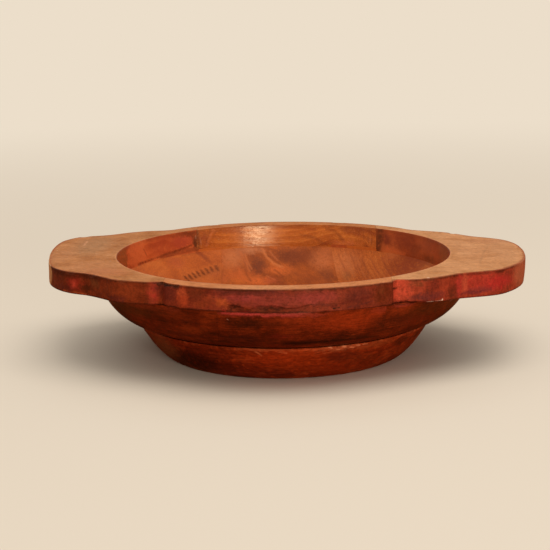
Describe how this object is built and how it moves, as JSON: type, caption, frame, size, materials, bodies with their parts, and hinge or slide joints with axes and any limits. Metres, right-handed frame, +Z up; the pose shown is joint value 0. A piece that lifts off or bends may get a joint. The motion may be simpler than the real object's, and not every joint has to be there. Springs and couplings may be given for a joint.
{
  "type": "fruit bowl",
  "caption": "Round wooden fruit bowl with flat ear handles, glued up from boards in three layers and turned to a stepped foot.",
  "frame": {"origin": "centre of the flat face under the base", "axes": "+X along the ears to the right one, +Y to the back, +Z up out of the bowl"},
  "size_m": [0.4046, 0.314, 0.0842],
  "materials": {
    "ear_wood": "rubbed matte, red stain on the sawn edge",
    "rim_wood": "matte top, stained and varnished sides",
    "wall_wood": "dark red stain, satin varnish",
    "base_wood": "red stain, satin varnish"
  },
  "bodies": {
    "root": {"left_ear_board": "ear_wood", "right_ear_board": "ear_wood", "back_rim_board": "rim_wood", "front_rim_board": "rim_wood", "left_wall_board": "wall_wood", "right_wall_board": "wall_wood", "back_wall_board": "wall_wood", "front_wall_board": "wall_wood", "front_base_board": "base_wood", "middle_base_board": "base_wood", "back_base_board": "base_wood"}
  },
  "joints": []
}
